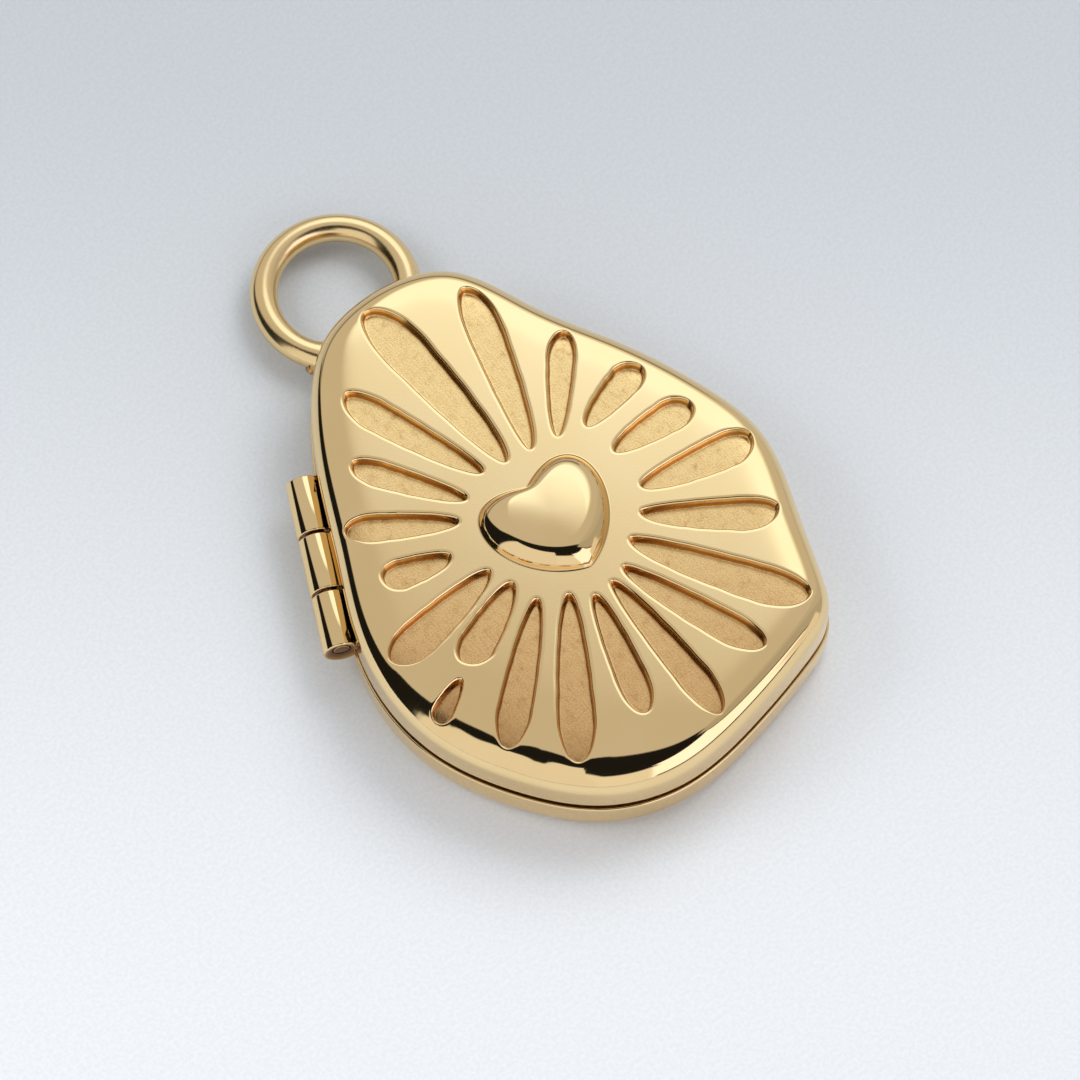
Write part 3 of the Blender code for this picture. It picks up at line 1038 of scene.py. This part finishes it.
@dataclass
class Heart:
    """The raised heart, a puffed dome whose cleft fades towards its middle."""

    width: float = 5.50
    stem: float = 4.36
    drop: float = 0.42
    lobe_rise: float = 1.25
    lobe_lean: float = 0.16
    height: float = 0.779
    foot: float = 0.12
    steepest: float = 68.0
    shoulder: float = 1.10
    crown: float = 1.2
    edge_softness: float = 0.03
    inner_softness: float = 0.75
    reach: float = 2.5
    sides: int = 400
    # the foot's crease turns matt and takes the painted wall shade
    foot_matt_and_shade: tuple[float, ...] = (0.0, 0.30, 0.46, 0.44, 0.28, 0.10)

    def contour(self, size: float, soft: float) -> np.ndarray:
        """The heart's outline at a size.

        Args:
            size: 1 at the edge, 0 at the middle.
            soft: how much its cleft and tip are rounded.

        Returns:
            The contour's points, clockwise.
        """
        angle = math.tau * np.arange(self.sides) / self.sides
        swell = np.sqrt(np.sin(angle) ** 2 + soft**2)
        lean = np.sin(2 * angle) * np.tanh(np.sin(angle) / (soft + 0.02))
        x = self.width / 2 * np.sin(angle)
        y = self.stem / 2 * np.cos(angle) - self.drop
        y = y + self.lobe_rise * swell + self.lobe_lean * lean
        return np.column_stack((x, y)) * size

    def surface(self, plate: float) -> tuple[list[np.ndarray], list[np.ndarray]]:
        """The dome's rings from the plate to the crown.

        Args:
            plate: the height of the plate that it stands on.

        Returns:
            The rings and their smooth normals.
        """
        rings = []
        edge = self.contour(1.0, self.edge_softness)
        normal = loop_normals(edge)
        steep = math.radians(self.steepest)
        for turn in np.linspace(0, steep, 6):
            out = self.foot * (math.sin(steep) - math.sin(turn))
            rise = self.foot * (1 - math.cos(turn))
            rings.append(np.column_stack((edge + normal * out, np.full(self.sides, plate + rise))))
        base = self.foot * (1 - math.cos(steep))
        sizes, rises = [], []
        for turn in np.linspace(steep, math.radians(self.crown), 40)[1:]:
            inwards = self.shoulder * (math.sin(steep) - math.sin(turn))
            sizes.append(1 - inwards / self.reach)
            rises.append(base + self.shoulder * (math.cos(turn) - math.cos(steep)))
        edge_size, edge_rise = sizes[-1], rises[-1]
        for share in np.linspace(1, 0, 12)[1:-1]:
            sizes.append(edge_size * share)
            rises.append(edge_rise + (self.height - edge_rise) * (1 - share**2))
        for size, rise in zip(sizes, rises):
            ring = self.contour(size, self.edge_softness + self.inner_softness * (1 - size))
            rings.append(np.column_stack((ring, np.full(self.sides, plate + rise))))
        grid = np.array(rings)
        around = np.roll(grid, -1, axis=1) - np.roll(grid, 1, axis=1)
        upward = np.gradient(grid, axis=0)
        normals = unit(np.cross(upward, around))
        normals *= np.sign(normals[:, :, 2].mean())
        normals[0] = (0, 0, 1)
        return rings, list(normals)

    def mesh(self, maker: MeshMaker, plate: float) -> np.ndarray:
        """Add the dome to the lid.

        Args:
            maker: the lid's mesh in the making.
            plate: the height of the plate.

        Returns:
            The numbers of the corners round its foot.
        """
        rings, normals = self.surface(plate)
        # matt with painted shade round the heart's foot
        recess = [*self.foot_matt_and_shade, *[0.0] * len(rings)]
        numbers = [
            maker.add(ring, normal, np.full(len(ring), share))
            for ring, normal, share in zip(rings, normals, recess)
        ]
        for first, second in zip(numbers, numbers[1:]):
            maker.strip(second, first)
        maker.cap(numbers[-1], turned=True)
        return numbers[0]


@dataclass
class Lid:
    """The hollow lid with its heart, its petals and the middle knuckle."""

    outline: Outline
    hinge: Hinge
    bottom: float = 2.05
    top: float = 4.45
    inset: float = 0.08
    fillet: float = 1.10
    near_bend: float = 30.0
    near_radius: float = 2.60
    tail: float = 14.0
    near_turn: float = 224.0
    near_cosines: Span = (0.743, 0.961)
    collar: float = 1.00
    collar_hold: float = 0.30
    uncollared: float = 244.9
    uncollared_cosines: Span = (0.935, 0.992)
    wall: float = 0.75
    plate: float = 0.95
    brim: float = 24.0
    roll_pitch: float = 0.085
    filler: float = 0.42
    margin: float = 0.3
    soft: float = 0.06
    ceiling_fillet: float = 0.3

    def fillet_ring(self, angle: float) -> tuple[float, float]:
        """Inset and height on the top edge's fillet.

        Args:
            angle: 0 at the side wall and 90 on the flat top.

        Returns:
            The inset and the height.
        """
        turn = math.radians(angle)
        inset = self.inset + self.fillet * (1 - math.cos(turn))
        return inset, self.top - self.fillet * (1 - math.sin(turn))

    def drops(self, bend: float, radius: float) -> np.ndarray:
        """How far the rolled edge lies below the flat top.

        Args:
            bend: the tilt in degrees below which a second, wider radius goes on.
            radius: that radius, down to the tilt from which the roll fades away.

        Returns:
            The drop at each of the insets in rooms.
        """
        wide, thin = math.radians(bend), math.radians(min(self.tail, bend))
        first = self.inset + self.fillet * (1 - math.sin(wide))
        second = first + radius * (math.sin(wide) - math.sin(thin))
        sine = (self.inset + self.fillet - self.rooms) / self.fillet
        tilt = np.arcsin(np.clip(sine, 0, 0.999))
        after = math.sin(wide) - (self.rooms - first) / radius
        tilt = np.where(self.rooms > first, np.arcsin(np.clip(after, 0, 1)), tilt)
        fade = np.exp((second - self.rooms) / (thin * radius * math.cos(thin)))
        slope = np.tan(np.where(self.rooms > second, thin * np.minimum(fade, 1), tilt))
        pieces = (slope[1:] + slope[:-1]) / 2 * np.diff(self.rooms)
        return np.append(np.cumsum(pieces[::-1])[::-1], 0.0)

    def __post_init__(self) -> None:
        """Work out the rolled edge, tight all round and wide on the near side."""
        self.sunburst = Sunburst(self.outline)
        self.calm = Sunburst(self.outline, wobble=0.0)
        self.rooms = np.linspace(self.inset + 0.03, 5.0, 2400)
        self.tight = self.drops(self.tail, self.fillet)
        self.wide = self.drops(self.near_bend, self.near_radius)

    def drop(self, room: np.ndarray, soft: np.ndarray) -> np.ndarray:
        """The rolled edge's drop.

        Args:
            room: distances from the outline.
            soft: how far the near side's wide roll counts, from 0 to 1.

        Returns:
            How far the top lies below its flat middle.
        """
        tight = np.interp(room, self.rooms, self.tight)
        return tight + soft * (np.interp(room, self.rooms, self.wide) - tight)

    def softness(self, spots: np.ndarray) -> np.ndarray:
        """How far the near edge's softening counts, less beside the petals' heads.

        Args:
            spots: where to measure.

        Returns:
            Shares from 0 to 1.
        """
        reach = np.maximum(np.linalg.norm(spots, axis=1), 0.01)
        facing = spots @ bearing_vector(self.near_turn) / reach
        short = spots @ bearing_vector(self.uncollared) / reach
        gap = self.calm.gaps(spots, self.collar + 0.05)
        low, high = self.uncollared_cosines
        free = smooth_step((short - low) / (high - low))
        held = smooth_step(gap / self.collar + 1) * self.collar_hold * (1 - free)
        low, high = self.near_cosines
        return smooth_step((facing - low) / (high - low)) * (1 - held)

    def surface(self, spots: np.ndarray) -> tuple[np.ndarray, np.ndarray]:
        """The top with its petals.

        Args:
            spots: where to measure.

        Returns:
            The height at each spot, and the share of the petals' depth.
        """
        room = edge_distance(self.outline.line[::3], spots)
        gap = self.sunburst.gaps(spots, self.margin)
        height = self.top - self.drop(room, self.softness(spots))
        depth = np.interp(gap, *self.sunburst.profile())
        return height - depth, depth / self.sunburst.depth

    def normals(self, spots: np.ndarray) -> np.ndarray:
        """The top's unit normals.

        Args:
            spots: where to measure.

        Returns:
            The normals.
        """
        step = 0.004
        slope = np.empty((len(spots), 2))
        for axis in (0, 1):
            offset = np.eye(2)[axis] * step
            ahead, _ = self.surface(spots + offset)
            behind, _ = self.surface(spots - offset)
            slope[:, axis] = (ahead - behind) / (2 * step)
        return unit(np.column_stack((-slope, np.ones(len(spots)))))

    def plate_spots(self, foot: np.ndarray) -> np.ndarray:
        """Where the top has corners between its brim and the heart's foot.

        Args:
            foot: the line of the heart's foot.

        Returns:
            The spots: rings on the petals' walls and the rolled edge, and a grid between.
        """
        loose = [self.sunburst.spots()]
        fine = Outline(samples=720)
        brim_inset, _ = self.fillet_ring(self.brim)
        rolled = self.inset + self.fillet * 0.5 + self.near_radius * 0.6
        for inset in np.arange(brim_inset + 0.04, rolled, self.roll_pitch):
            ring = fine.ring(float(inset), 0)[:, :2]
            loose.append(ring[self.sunburst.gaps(ring, 2 * self.margin) < -self.margin])
        span = np.arange(-14, 14, self.filler)
        across, along = np.meshgrid(span, span * 0.9)
        across = across + (np.arange(len(span)) % 2)[:, None] * self.filler / 2
        grid = np.column_stack((across.ravel(), along.ravel()))
        grid = grid[edge_distance(self.outline.line[::4], grid) > rolled + 0.1]
        for edge in self.sunburst.edges:
            grid = grid[np.abs(edge_distance(edge, grid)) > self.margin]
        spots = np.vstack((*loose, grid))
        spots = spots[edge_distance(foot, spots) < -0.08]
        return spots[edge_distance(self.outline.line[::2], spots) > brim_inset + 0.02]

    def top_mesh(self, maker: MeshMaker, brim: np.ndarray) -> None:
        """Add the top face with its fillet, petals and heart.

        Args:
            maker: the lid's mesh in the making.
            brim: the ring where the top joins the side wall.
        """
        edges = np.concatenate((brim, Heart().mesh(maker, self.top)))
        edge_spots = maker.corners_of(edges)[:, :2]
        brim_spots, foot = edge_spots[: len(brim)], edge_spots[len(brim) :]
        flat = np.vstack((edge_spots, self.plate_spots(foot)))
        loops = [range(len(brim)), range(len(brim), len(edges))]
        links = [(loop[i - 1], loop[i]) for loop in loops for i in range(len(loop))]
        result = delaunay_2d_cdt([Vector(spot) for spot in flat], links, [], 0, 1e-7)
        made = np.array([tuple(spot) for spot in result[0]])
        lookup = np.full(len(made), -1)
        for index, origins in enumerate(result[3]):
            if origins and min(origins) < len(edges):
                lookup[index] = edges[min(origins)]
        fresh = lookup < 0
        height, share = self.surface(made)
        corners = np.column_stack((made, height))[fresh]
        lookup[fresh] = maker.add(corners, self.normals(made[fresh]), share[fresh])
        middles = np.array([made[list(face)].mean(0) for face in result[2]])
        kept = (edge_distance(brim_spots, middles) > 0) & (edge_distance(foot, middles) < 0)
        for index in np.nonzero(kept)[0]:
            maker.faces.append(tuple(int(lookup[n]) for n in result[2][index]))

    def build(self, material: bpy.types.Material) -> None:
        """Make the lid and its knuckle.

        Args:
            material: the gold with matt floors.
        """
        hinge = self.hinge
        lower, middle, upper = hinge.spans()
        rings = []
        brim_inset, brim_height = self.fillet_ring(self.brim)
        soft = self.softness(self.outline.ring(brim_inset, 0)[:, :2])
        lowered = brim_height - self.top + self.drop(np.full(len(soft), brim_inset), soft)
        for angle in (self.brim, 16.0, 8.0, 0.0):
            inset, height = self.fillet_ring(angle)
            rings.append(self.outline.ring(inset, height - lowered))
        relief_top = hinge.height + hinge.relieved(self.inset)
        heights = np.linspace(relief_top - 0.01, self.bottom + self.soft, 7)
        heights = [relief_top + 0.01, *heights]
        rings += hinge.wall(heights, self.inset, (lower, upper), self.soft)
        first_seam = len(rings)
        inner = self.inset + self.wall
        rings.append(self.outline.ring(self.inset + 0.09, self.bottom))
        rings.append(self.outline.ring(inner - self.soft, self.bottom))
        rings.append(self.outline.ring(inner, self.bottom + self.soft))
        for turn in np.radians(22.5 * np.arange(5)):
            inset = inner + self.ceiling_fillet * (1 - math.cos(turn))
            height = self.top - self.plate - self.ceiling_fillet * (1 - math.sin(turn))
            rings.append(self.outline.ring(inset, height))
        maker = MeshMaker()
        numbers = maker.loft(rings)
        maker.cap(numbers[-1], turned=True)
        maker.smooth(numbers[0], self.brim, self.outline.normals)
        # the seam's faces: matt, with painted shade for the gap
        for ring in numbers[first_seam : first_seam + 3]:
            maker.mark(ring, SEAM_MATT_AND_SHADE)
        self.top_mesh(maker, numbers[0])
        maker.build("lid", material, Body.LID, Slot.GOLD, ("lid_shell",))
        hinge.knuckle(middle, 1).build("lid_knuckle", material, Body.LID, Slot.GOLD)


@dataclass
class Back:
    """The tray-like back with its lip and the two outer knuckles."""

    outline: Outline
    hinge: Hinge
    top: float = 1.75
    fillet: float = 0.65
    floor: float = 0.80
    lip_outer: float = 0.95
    lip_inner: float = 1.45
    lip_top: float = 2.70
    soft: float = 0.07

    def build(self, material: bpy.types.Material) -> None:
        """Make the back and its knuckles.

        Args:
            material: the polished gold.
        """
        hinge = self.hinge
        lower, middle, upper = hinge.spans()
        rings = []
        for turn in np.radians(90 * np.arange(9) / 8):
            inset = self.fillet * (1 - math.sin(turn))
            rings.append(self.outline.ring(inset, self.fillet * (1 - math.cos(turn))))
        relief_foot = hinge.height - hinge.relieved(0)
        heights = np.linspace(relief_foot + 0.01, self.top - self.soft, 7)
        rings += hinge.wall([relief_foot - 0.01, *heights], 0, (middle,), self.soft)
        first_seam = len(rings)
        for inset, height in (
            (0.10, self.top),
            (self.lip_outer - 0.05, self.top),
            (self.lip_outer, self.top + 0.05),
            (self.lip_outer, self.lip_top - 0.08),
            (self.lip_outer + 0.02, self.lip_top - 0.02),
            (self.lip_outer + 0.08, self.lip_top),
            (self.lip_inner - 0.08, self.lip_top),
            (self.lip_inner - 0.02, self.lip_top - 0.02),
            (self.lip_inner, self.lip_top - 0.08),
            (self.lip_inner, self.floor + 0.20),
            (self.lip_inner + 0.06, self.floor + 0.06),
            (self.lip_inner + 0.20, self.floor),
        ):
            rings.append(self.outline.ring(inset, height))
        maker = MeshMaker()
        numbers = maker.loft(rings)
        maker.cap(numbers[0])
        maker.cap(numbers[-1], turned=True)
        # the seam's faces: matt, with painted shade for the gap
        for ring in numbers[first_seam : first_seam + 4]:
            maker.mark(ring, SEAM_MATT_AND_SHADE)
        maker.build("back", material, Body.BACK, Slot.GOLD, ("back_shell",))
        for name, span in (("lower_knuckle", lower), ("upper_knuckle", upper)):
            hinge.knuckle(span, -1).build(name, material, Body.BACK, Slot.GOLD)


@dataclass
class BailRing:
    """The wire ring soldered into the top edge of the back."""

    outline: Outline
    wire: float = 1.20
    radius: float = 3.10
    seat: float = 1.20
    lift: float = 0.40
    buried: float = 52.0
    flare: float = 0.10
    flare_length: float = 0.75
    steps: int = 150
    sides: int = 40
    lump: float = 0.40
    lump_steps: int = 16
    lump_sides: int = 28
    lump_place: tuple[float, float, float] = (-2.76, 13.24, 0.86)

    def build(self, material: bpy.types.Material) -> None:
        """Make the ring.

        Args:
            material: the polished gold.
        """
        edge = self.outline.reach(0)
        centre = np.array((0.0, edge + self.radius - self.seat))
        height = self.lift + self.wire / 2
        rings = []
        angles = np.linspace(-self.buried, 180 + self.buried, self.steps)
        corner = math.tau * np.arange(self.sides) / self.sides
        for angle in angles:
            turn = math.radians(float(angle))
            out = np.array((math.cos(turn), math.sin(turn)))
            from_end = min(angle - angles[0], angles[-1] - angle) * math.radians(self.radius)
            swell = self.flare * math.exp(-((from_end / self.flare_length) ** 2))
            wire = self.wire / 2 + swell
            reach = self.radius + wire * np.cos(corner)
            flat = centre + reach[:, None] * out
            rings.append(np.column_stack((flat, height + self.wire / 2 * np.sin(corner))))
        maker = MeshMaker()
        maker.solid(rings)
        maker.build("bail_ring", material, Body.BACK, Slot.GOLD)

    def solder(self, material: bpy.types.Material) -> None:
        """Add the small rough lump of solder at the ring's left foot.

        Args:
            material: the gold that darkens where it is marked.
        """
        rings = []
        turn = math.tau * np.arange(self.lump_sides) / self.lump_sides
        for rise in math.pi * np.arange(1, self.lump_steps) / self.lump_steps:
            lumpy = 1 + 0.10 * np.sin(3 * turn + 2 * rise) + 0.07 * np.sin(5 * turn - 3 * rise)
            flat = math.sin(rise) * self.lump * lumpy[:, None] * circle(turn)
            high = np.full(len(turn), self.lump * math.cos(rise))
            rings.append(np.column_stack((flat, high)) + self.lump_place)
        maker = MeshMaker()
        for ring in maker.solid(rings):
            # matt, and partly in the painted wall shade where the ring meets the back
            maker.mark(ring, 0.9)
        maker.build("solder", material, Body.BACK, Slot.GOLD)


@dataclass(frozen=True)
class Glow:
    """A round soft-edged light in the studio's surroundings, seen from the pendant.

    Directions are azimuth, clockwise from straight away from the camera, and elevation.
    """

    azimuth: float
    elevation: float
    inner: float
    outer: float
    colour: Colour


@dataclass(frozen=True)
class Card:
    """A soft-edged card, light or dark, in the studio's surroundings.

    Its top falls by lean degrees for each degree of azimuth past its left edge, and its sides
    move right by skew degrees for each degree of elevation.
    """

    left: float
    right: float
    low: float
    high: float
    soft: float
    colour: Colour
    lean: float = 0.0
    skew: float = 0.0


def grey(value: float, warmth: float = 0.0) -> Colour:
    """A light's colour, warmer for a warmth above 0."""
    return (value * (1 + warmth), value, value * (1 - warmth), 1.0)


@dataclass
class Studio:
    """Camera, floor and soft light."""

    turn: float = 37.0
    tilt: float = 65.5
    half_view: float = 4.0
    scale: float = 24.0
    plane: float = 4.45
    heart_pixel: tuple[float, float] = (553.0, 520.0)
    image: float = 1080.0
    lamp_distance: float = 0.16
    lamp_size: float = 0.09
    floor_half: float = 2.0
    dark: Colour = grey(0.012)
    # azimuth, elevation, power
    lamps: tuple[tuple[float, float, float], ...] = ((40.0, 50.0, 0.11), (-92.0, 42.0, 0.080))
    patches: tuple[Glow | Card, ...] = (
        Glow(0, 0, 93.0, 95.5, grey(0.61, 0.03)),
        Card(48, 78, -20, 66, 5.0, grey(0.54, 0.03), skew=0.457),
        Card(64, 87, -20, 66, 1.5, grey(0.47, 0.03), skew=0.457),
        Glow(12, 41.4, 20, 25, (0.94, 1.00, 0.94, 1.0)),
        Glow(9.6, 46.6, 16.6, 21.1, (1.30, 1.42, 1.55, 1.0)),
        Card(-122, -45, -20, 80, 3.0, grey(0.012), lean=1.16),
        Card(-62, 22, 5, 13, 3.0, grey(0.22, 0.05)),
        Card(-200, -122, -20, 60, 1.5, grey(0.86)),
        Card(152, 200, -20, 46, 3.0, grey(0.90)),
        Card(89.5, 132, -20, 57, 1.0, (1.45, 1.42, 1.65, 1.0), skew=0.457, lean=0.10),
        Card(128, 156, -20, 53.5, 1.5, (1.45, 1.42, 1.65, 1.0), lean=0.42),
        Card(88, 107, -20, 24, 2.0, grey(0.82, 0.03)),
        Card(106, 154, 0, 5, 1.0, grey(0.03)),
    )

    def __post_init__(self) -> None:
        """Work out the camera's directions in the row's frame."""
        turn = math.radians(self.turn)
        self.right = Vector((math.cos(turn), -math.sin(turn), 0))
        self.away = Vector((math.sin(turn), math.cos(turn), 0))
        self.up = Vector((0, 0, 1))

    def camera(self) -> None:
        """Place the camera at the photograph's viewing angle."""
        tilt = math.radians(self.tilt)
        across = (self.image / 2 - self.heart_pixel[0]) / self.scale
        deep = (self.image / 2 - self.heart_pixel[1]) / (self.scale * math.sin(tilt))
        target = Vector((*HEART_PLACE, self.plane)) + self.right * across - self.away * deep
        distance = self.image / 2 / math.tan(math.radians(self.half_view)) / self.scale
        back = self.up * math.sin(tilt) - self.away * math.cos(tilt)
        data = bpy.data.cameras.new("camera")
        data.sensor_width = 36.0
        data.lens = data.sensor_width / 2 / math.tan(math.radians(self.half_view))
        data.clip_start = 0.01
        data.clip_end = 20.0
        item = new_object("camera", data)
        item.location = (target + back * distance) * MM
        item.rotation_euler = (-back).to_track_quat("-Z", "Y").to_euler()
        bpy.context.scene.camera = item
        bpy.context.scene.view_settings.view_transform = "Standard"

    def direction(self, azimuth: float, elevation: float) -> Vector:
        """A direction from its azimuth, clockwise from straight away, and elevation."""
        side, rise = math.radians(azimuth), math.radians(elevation)
        level = self.away * math.cos(side) + self.right * math.sin(side)
        return level * math.cos(rise) + self.up * math.sin(rise)

    def surroundings(self) -> None:
        """Light the scene from soft patches all round it."""
        world = bpy.data.worlds.new("studio")
        bpy.context.scene.world = world
        world.use_nodes = True
        graph = Graph(world.node_tree)
        sight = graph.node("ShaderNodeTexCoord", output="Generated")
        settings = {"operation": "ARCTAN2"}
        values = {0: graph.along(sight, self.right), 1: graph.along(sight, self.away)}
        azimuth = graph.node("ShaderNodeMath", settings, values) * math.degrees(1)
        rise = graph.along(sight, self.up)
        elevation = graph.node("ShaderNodeMath", {"operation": "ARCSINE"}, {0: rise})
        elevation = elevation * math.degrees(1)
        colour: Any = self.dark
        for patch in self.patches:
            if isinstance(patch, Glow):
                facing = graph.along(sight, self.direction(patch.azimuth, patch.elevation))
                low, high = np.cos(np.radians((patch.outer, patch.inner)))
                share = facing.step(float(low), float(high))
            else:
                share = self.card_share(patch, azimuth, elevation)
            colour = graph.blend(share, colour, patch.colour)
        background = world.node_tree.nodes["Background"]
        graph.feed(background.inputs["Color"], colour)
        graph.feed(background.inputs["Strength"], 1.0)

    @staticmethod
    def card_share(card: Card, azimuth: Number, elevation: Number) -> Number:
        """How much of a direction a card covers.

        Args:
            card: the card.
            azimuth: the direction's azimuth in degrees.
            elevation: its elevation.

        Returns:
            The share, from 0 to 1.
        """
        fallen = elevation + (azimuth - card.left) * card.lean
        azimuth = azimuth - elevation * card.skew
        share = azimuth.step(card.left - card.soft, card.left + card.soft)
        share = share * azimuth.step(card.right + card.soft, card.right - card.soft)
        share = share * elevation.step(card.low - card.soft, card.low + card.soft)
        return share * fallen.step(card.high + card.soft, card.high - card.soft)

    def floor(self) -> None:
        """Lay the plain floor."""
        mesh = bpy.data.meshes.new("floor")
        signs = ((-1, -1), (1, -1), (1, 1), (-1, 1))
        corners = [(x * self.floor_half, y * self.floor_half, 0) for x, y in signs]
        mesh.from_pydata(corners, [], [(0, 1, 2, 3)])
        mesh.materials.append(FloorFinish("pale_floor").build())
        new_object("floor", mesh)

    def hang_lamps(self) -> None:
        """Hang wide soft lamps, which the gold doesn't mirror, for the floor's light."""
        for azimuth, elevation, power in self.lamps:
            data = bpy.data.lights.new("soft_lamp", "AREA")
            data.size = self.lamp_size
            data.energy = power
            item = new_object("soft_lamp", data)
            way = self.direction(azimuth, elevation)
            item.location = way * self.lamp_distance
            item.rotation_euler = way.to_track_quat("Z", "Y").to_euler()
            item.visible_glossy = False

    def build(self) -> None:
        """Set up the camera, the floor and the light."""
        self.hang_lamps()
        self.camera()
        self.floor()
        self.surroundings()


def main() -> None:
    """Build the pendant's looks and the studio."""
    logging.basicConfig(level=logging.INFO, format="%(message)s")
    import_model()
    outline = Outline()
    hinge = Hinge(outline)
    outline.refine(hinge)
    # the lid's and back's gold: matt floors, with painted shade on walls, creases, the seam, hollows
    # and the near side
    worked_and_shaded = GoldFinish("worked_and_shaded_gold", has_recess=True).build()
    brushed = GoldFinish("brushed_gold", shine=0.21, brushed=0.02).build()
    Lid(outline, hinge).build(worked_and_shaded)
    Back(outline, hinge).build(worked_and_shaded)
    bail = BailRing(outline)
    bail.build(brushed)
    bail.solder(worked_and_shaded)
    pin = GoldFinish("pin_gold", (0.84, 0.62, 0.32, 1.0), shine=0.15, has_recess=True).build()
    hinge.pin_mesh().build("pin", pin, Body.BACK, Slot.PIN, ("hinge_pin",))
    Studio().build()


if __name__ == "__main__":
    main()
